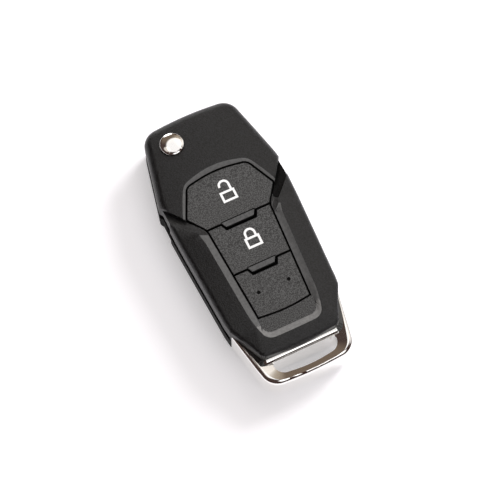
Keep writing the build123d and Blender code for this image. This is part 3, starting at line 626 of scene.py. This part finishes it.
def soft_patch(tree, direction, inner, outer, colour, strength):
    """Round soft light in the sky, full inside one angle in degrees and gone outside another."""
    place = tree.nodes.new("ShaderNodeTexCoord")
    toward = tree.nodes.new("ShaderNodeVectorMath")
    toward.operation = "DOT_PRODUCT"
    toward.inputs[1].default_value = Vector(direction).normalized()
    tree.links.new(place.outputs["Generated"], toward.inputs[0])
    edge = tree.nodes.new("ShaderNodeMapRange")
    edge.interpolation_type = "SMOOTHSTEP"
    edge.inputs["From Min"].default_value = cos(radians(outer))
    edge.inputs["From Max"].default_value = cos(radians(inner))
    tree.links.new(toward.outputs["Value"], edge.inputs["Value"])
    glow = tree.nodes.new("ShaderNodeMix")
    glow.data_type = "RGBA"
    glow.inputs["A"].default_value = (0, 0, 0, 1)
    glow.inputs["B"].default_value = (*(c * strength for c in colour), 1)
    tree.links.new(edge.outputs["Result"], glow.inputs["Factor"])
    return glow.outputs["Result"]


def studio_sky():
    """Dim room with soft lights overhead. The camera itself sees it white."""
    world = bpy.data.worlds.new("studio")
    world.use_nodes = True
    tree = world.node_tree
    room = tree.nodes.new("ShaderNodeValToRGB")
    place = tree.nodes.new("ShaderNodeTexCoord")
    height = tree.nodes.new("ShaderNodeSeparateXYZ")
    tree.links.new(place.outputs["Generated"], height.inputs[0])
    tree.links.new(height.outputs["Z"], room.inputs["Fac"])
    room.color_ramp.elements[0].position = 0.0
    room.color_ramp.elements[0].color = (*ROOM_LOW, 1)
    room.color_ramp.elements[1].position = 0.75
    room.color_ramp.elements[1].color = (*ROOM_HIGH, 1)
    total = room.outputs["Color"]
    for direction, inner, outer, colour, strength in SOFT_LIGHTS:
        patch = soft_patch(tree, direction, inner, outer, colour, strength)
        add = tree.nodes.new("ShaderNodeVectorMath")
        add.operation = "ADD"
        tree.links.new(total, add.inputs[0])
        tree.links.new(patch, add.inputs[1])
        total = add.outputs["Vector"]
    path = tree.nodes.new("ShaderNodeLightPath")
    fill = tree.nodes.new("ShaderNodeVectorMath")
    fill.operation = "MULTIPLY_ADD"
    fill.inputs[1].default_value = (SOFT_FILL, SOFT_FILL, SOFT_FILL)
    tree.links.new(path.outputs["Is Diffuse Ray"], fill.inputs[0])
    tree.links.new(total, fill.inputs[2])
    total = fill.outputs["Vector"]
    seen = tree.nodes.new("ShaderNodeMix")
    seen.data_type = "RGBA"
    seen.inputs["B"].default_value = (1, 1, 1, 1)
    tree.links.new(path.outputs["Is Camera Ray"], seen.inputs["Factor"])
    tree.links.new(total, seen.inputs["A"])
    tree.links.new(seen.outputs["Result"], tree.nodes["Background"].inputs["Color"])
    bpy.context.scene.world = world


def shadow_lamp(direction, distance, size, energy):
    """Soft lamp from the right that lays the shadow to the left, and isn't mirrored."""
    light = bpy.data.lights.new("side_softbox", "AREA")
    light.shape = "DISK"
    light.size = size
    light.energy = energy
    lamp = bpy.data.objects.new("side_softbox", light)
    bpy.context.collection.objects.link(lamp)
    lamp.location = Vector(direction).normalized() * distance
    lamp.rotation_euler = (-lamp.location).to_track_quat("-Z", "Y").to_euler()
    lamp.visible_glossy = False


studio_sky()
shadow_lamp(SHADOW_FROM, SHADOW_LAMP_DISTANCE, SHADOW_LAMP_SIZE, SHADOW_LAMP_ENERGY)


def white_floor():
    """Pale sheet under the object. The camera sees it white, with the shadow kept."""
    bpy.ops.mesh.primitive_plane_add(size=FLOOR_SIZE, location=(0, 0, cad_low[2] - FLOOR_GAP))
    sheet = start_piece("floor")
    mat, tree_nodes, links, shader = new_material("floor_paper")
    shader.inputs["Base Color"].default_value = (*FLOOR_PAPER, 1)
    shader.inputs["Roughness"].default_value = 0.9
    shader.inputs["Emission Color"].default_value = (*FLOOR_GLOW, 1)
    path = tree_nodes.new("ShaderNodeLightPath")
    seen = tree_nodes.new("ShaderNodeMath")
    seen.operation = "MULTIPLY"
    seen.inputs[1].default_value = GLOW_SEEN
    links.new(path.outputs["Is Camera Ray"], seen.inputs[0])
    glow = tree_nodes.new("ShaderNodeMath")
    glow.operation = "MULTIPLY_ADD"
    glow.inputs[1].default_value = GLOW_MIRRORED
    links.new(path.outputs["Is Glossy Ray"], glow.inputs[0])
    links.new(seen.outputs[0], glow.inputs[2])
    links.new(glow.outputs[0], shader.inputs["Emission Strength"])
    sheet.data.materials.append(mat)


white_floor()

scene = bpy.context.scene
scene.view_settings.view_transform = "Standard"
camera = bpy.data.objects.new("camera", bpy.data.cameras.new("camera"))
bpy.context.collection.objects.link(camera)
away = Vector((
    sin(VIEW_AZIMUTH) * cos(VIEW_ELEVATION),
    -cos(VIEW_AZIMUTH) * cos(VIEW_ELEVATION),
    sin(VIEW_ELEVATION),
))
camera.location = AIM + away * DISTANCE
camera.rotation_euler = (-away).to_track_quat("-Z", "Y").to_euler()
camera.data.lens = LENS
camera.data.sensor_width = 36.0
camera.data.clip_start = 0.01
camera.data.clip_end = 10.0
scene.camera = camera
